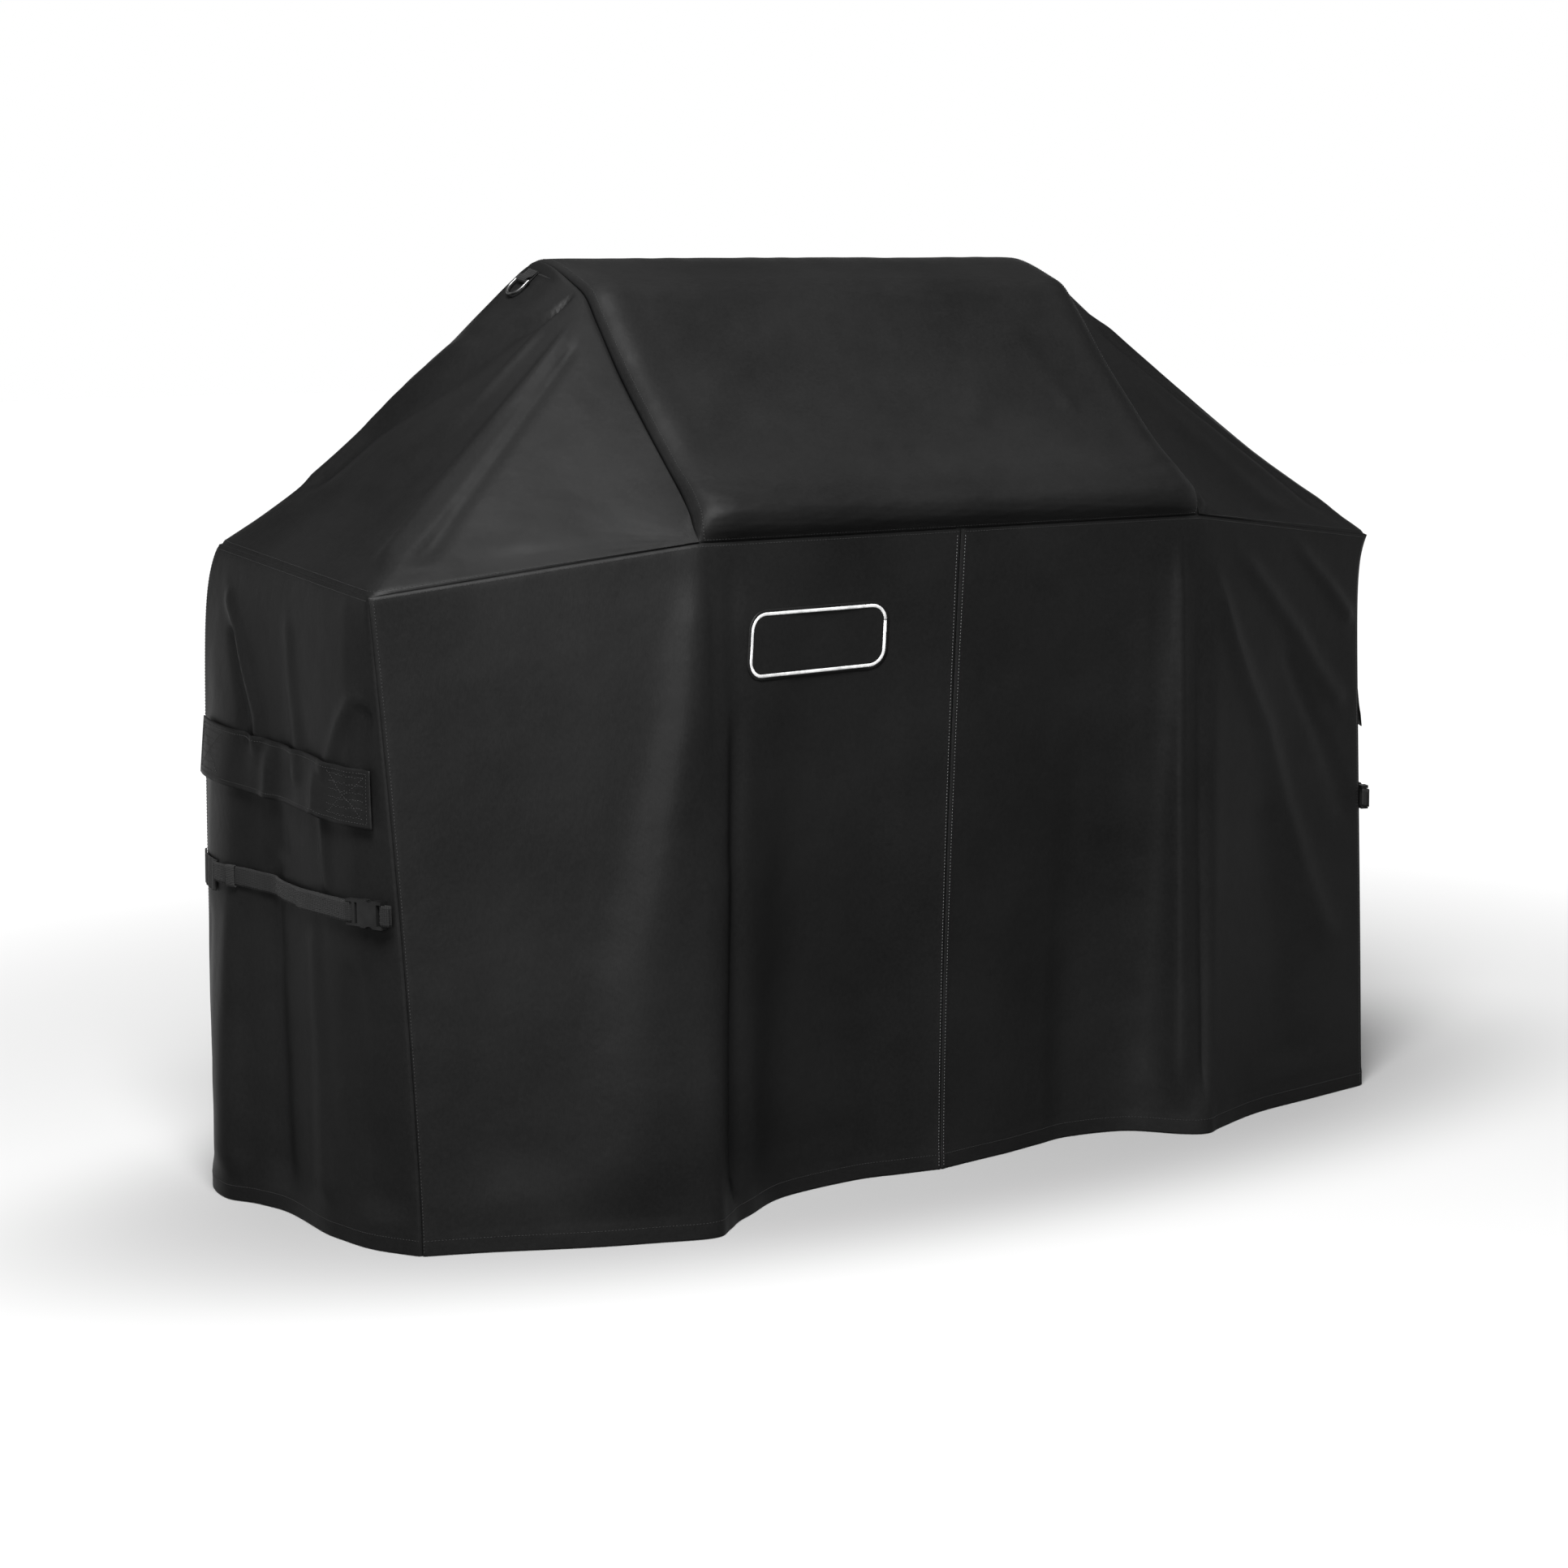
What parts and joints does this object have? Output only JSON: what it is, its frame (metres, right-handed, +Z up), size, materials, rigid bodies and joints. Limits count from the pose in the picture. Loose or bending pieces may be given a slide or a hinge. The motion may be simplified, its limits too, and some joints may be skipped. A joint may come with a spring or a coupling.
{
  "type": "grill cover",
  "caption": "Fitted black cloth cover for a cart grill with side shelves: gabled lid, folded skirts, vent flaps, straps with side-release buckles and hanging rings.",
  "frame": {"origin": "on the floor plane that the hem stands on, under the middle of the cover's box", "axes": "+X along the cover's width towards its right end, +Y from front to back, +Z up"},
  "size_m": [1.682, 0.697, 1.19],
  "materials": {
    "cloth": "coated woven polyester, matt with a slight sheen",
    "binding": "woven binding tape",
    "webbing": "ribbed webbing",
    "mesh": "open knitted mesh",
    "hook_and_loop": "rough hook-and-loop tape",
    "buckle_plastic": "moulded, fine spark texture",
    "ring_metal": "dark plated, lightly worn",
    "label": "blank printed patch with a pale border"
  },
  "bodies": {
    "root": {"lid_panel": "cloth", "front_centre_tape": "binding", "back_centre_tape": "binding", "eave_binding": "binding", "front_label": "label", "left_side_roof": "cloth", "left_front_skirt": "cloth", "left_end_skirt": "cloth", "left_back_skirt": "cloth", "left_gable_binding": "binding", "left_front_corner_tape": "binding", "left_back_corner_tape": "binding", "left_vent_mesh": "mesh", "left_front_loop_patch": "hook_and_loop", "left_rear_loop_patch": "hook_and_loop", "left_buckle_socket": "buckle_plastic", "left_buckle_plug": "buckle_plastic", "left_short_strap": "webbing", "left_long_strap": "webbing", "left_strap_keeper": "webbing", "left_strap_anchor": "webbing", "left_hanging_tab": "webbing", "right_side_roof": "cloth", "right_front_skirt": "cloth", "right_end_skirt": "cloth", "right_back_skirt": "cloth", "right_gable_binding": "binding", "right_front_corner_tape": "binding", "right_back_corner_tape": "binding", "right_vent_mesh": "mesh", "right_front_loop_patch": "hook_and_loop", "right_rear_loop_patch": "hook_and_loop", "right_buckle_socket": "buckle_plastic", "right_buckle_plug": "buckle_plastic", "right_short_strap": "webbing", "right_long_strap": "webbing", "right_strap_keeper": "webbing", "right_strap_anchor": "webbing", "right_hanging_tab": "webbing"},
    "left_vent_flap": {"left_vent_flap": "cloth", "left_front_hook_patch": "hook_and_loop", "left_rear_hook_patch": "hook_and_loop"},
    "left_hanging_ring": {"left_hanging_ring": "ring_metal"},
    "left_upper_prong": {"left_buckle_upper_prong": "buckle_plastic"},
    "left_lower_prong": {"left_buckle_lower_prong": "buckle_plastic"},
    "right_vent_flap": {"right_vent_flap": "cloth", "right_front_hook_patch": "hook_and_loop", "right_rear_hook_patch": "hook_and_loop"},
    "right_hanging_ring": {"right_hanging_ring": "ring_metal"},
    "right_upper_prong": {"right_buckle_upper_prong": "buckle_plastic"},
    "right_lower_prong": {"right_buckle_lower_prong": "buckle_plastic"}
  },
  "joints": [
    {"name": "left_vent_flap_lift", "type": "hinge", "parent": "root", "child": "left_vent_flap", "pos_m": [-0.78921, -0.18521, 0.59341], "axis": [-0.0796, 0.9951, 0.058], "range_deg": [0, 75]},
    {"name": "left_ring_swing", "type": "hinge", "parent": "root", "child": "left_hanging_ring", "pos_m": [-0.39685, 0.12685, 1.16934], "axis": [0.0162, 0.9863, 0.1642], "range_deg": [0, 150]},
    {"name": "left_upper_prong_squeeze", "type": "hinge", "parent": "root", "child": "left_upper_prong", "pos_m": [-0.78218, -0.17105, 0.428], "axis": [0.9327, 0.3607, 0], "range_deg": [0, 12], "stiffness_Nm_per_rad": 0.2},
    {"name": "left_lower_prong_squeeze", "type": "hinge", "parent": "root", "child": "left_lower_prong", "pos_m": [-0.78218, -0.17105, 0.412], "axis": [-0.9327, -0.3607, 0], "range_deg": [0, 12], "stiffness_Nm_per_rad": 0.2},
    {"name": "right_vent_flap_lift", "type": "hinge", "parent": "root", "child": "right_vent_flap", "pos_m": [0.78818, -0.1791, 0.59345], "axis": [-0.0861, -0.9945, -0.0588], "range_deg": [0, 75]},
    {"name": "right_ring_swing", "type": "hinge", "parent": "root", "child": "right_hanging_ring", "pos_m": [0.39748, 0.12685, 1.16934], "axis": [0.0162, -0.9863, -0.1642], "range_deg": [0, 150]},
    {"name": "right_upper_prong_squeeze", "type": "hinge", "parent": "root", "child": "right_upper_prong", "pos_m": [0.7878, -0.16243, 0.428], "axis": [0.942, -0.3357, 0], "range_deg": [0, 12], "stiffness_Nm_per_rad": 0.2},
    {"name": "right_lower_prong_squeeze", "type": "hinge", "parent": "root", "child": "right_lower_prong", "pos_m": [0.7878, -0.16243, 0.412], "axis": [-0.942, 0.3357, 0], "range_deg": [0, 12], "stiffness_Nm_per_rad": 0.2}
  ],
  "couplings": [
    {"joint": "left_lower_prong_squeeze", "follows": "left_upper_prong_squeeze", "ratio": 1},
    {"joint": "right_lower_prong_squeeze", "follows": "right_upper_prong_squeeze", "ratio": 1}
  ]
}
